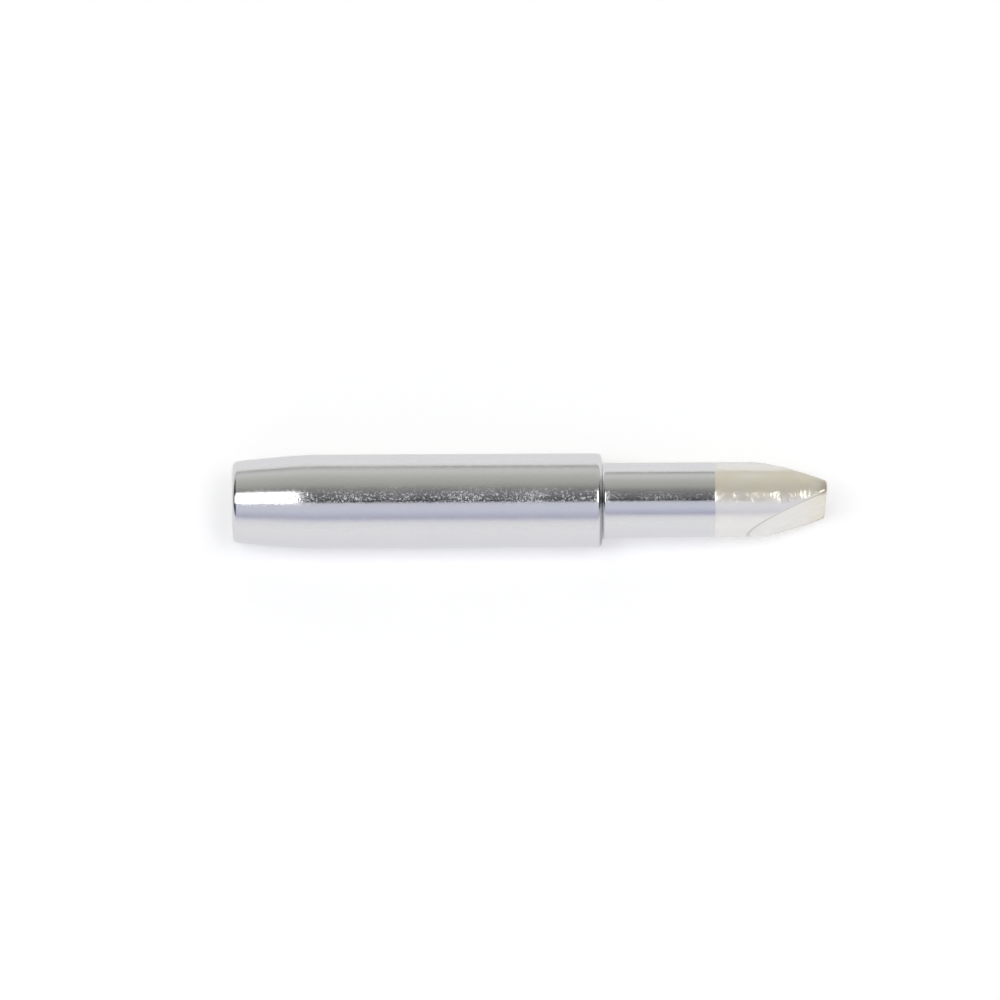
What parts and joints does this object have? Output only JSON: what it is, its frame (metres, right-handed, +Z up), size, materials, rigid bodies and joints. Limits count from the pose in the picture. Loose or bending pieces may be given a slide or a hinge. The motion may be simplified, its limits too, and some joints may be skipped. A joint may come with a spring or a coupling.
{
  "type": "soldering iron tip",
  "caption": "Slip-on soldering iron tip: hollow round shank with a tapered open end, shoulder, solid neck and a wide chisel end with opposed flats.",
  "frame": {"origin": "centre of the open end of the shank, on the axis of the heater bore", "axes": "+X along the axis from the open end towards the blade, +Z up as the tip lies on a table, +Y and -Y the ways that the flats of the blade face"},
  "size_m": [0.0408, 0.0065, 0.0064],
  "materials": {
    "bright_plating": "polished"
  },
  "bodies": {
    "root": {"soldering_tip": "bright_plating"}
  },
  "joints": []
}
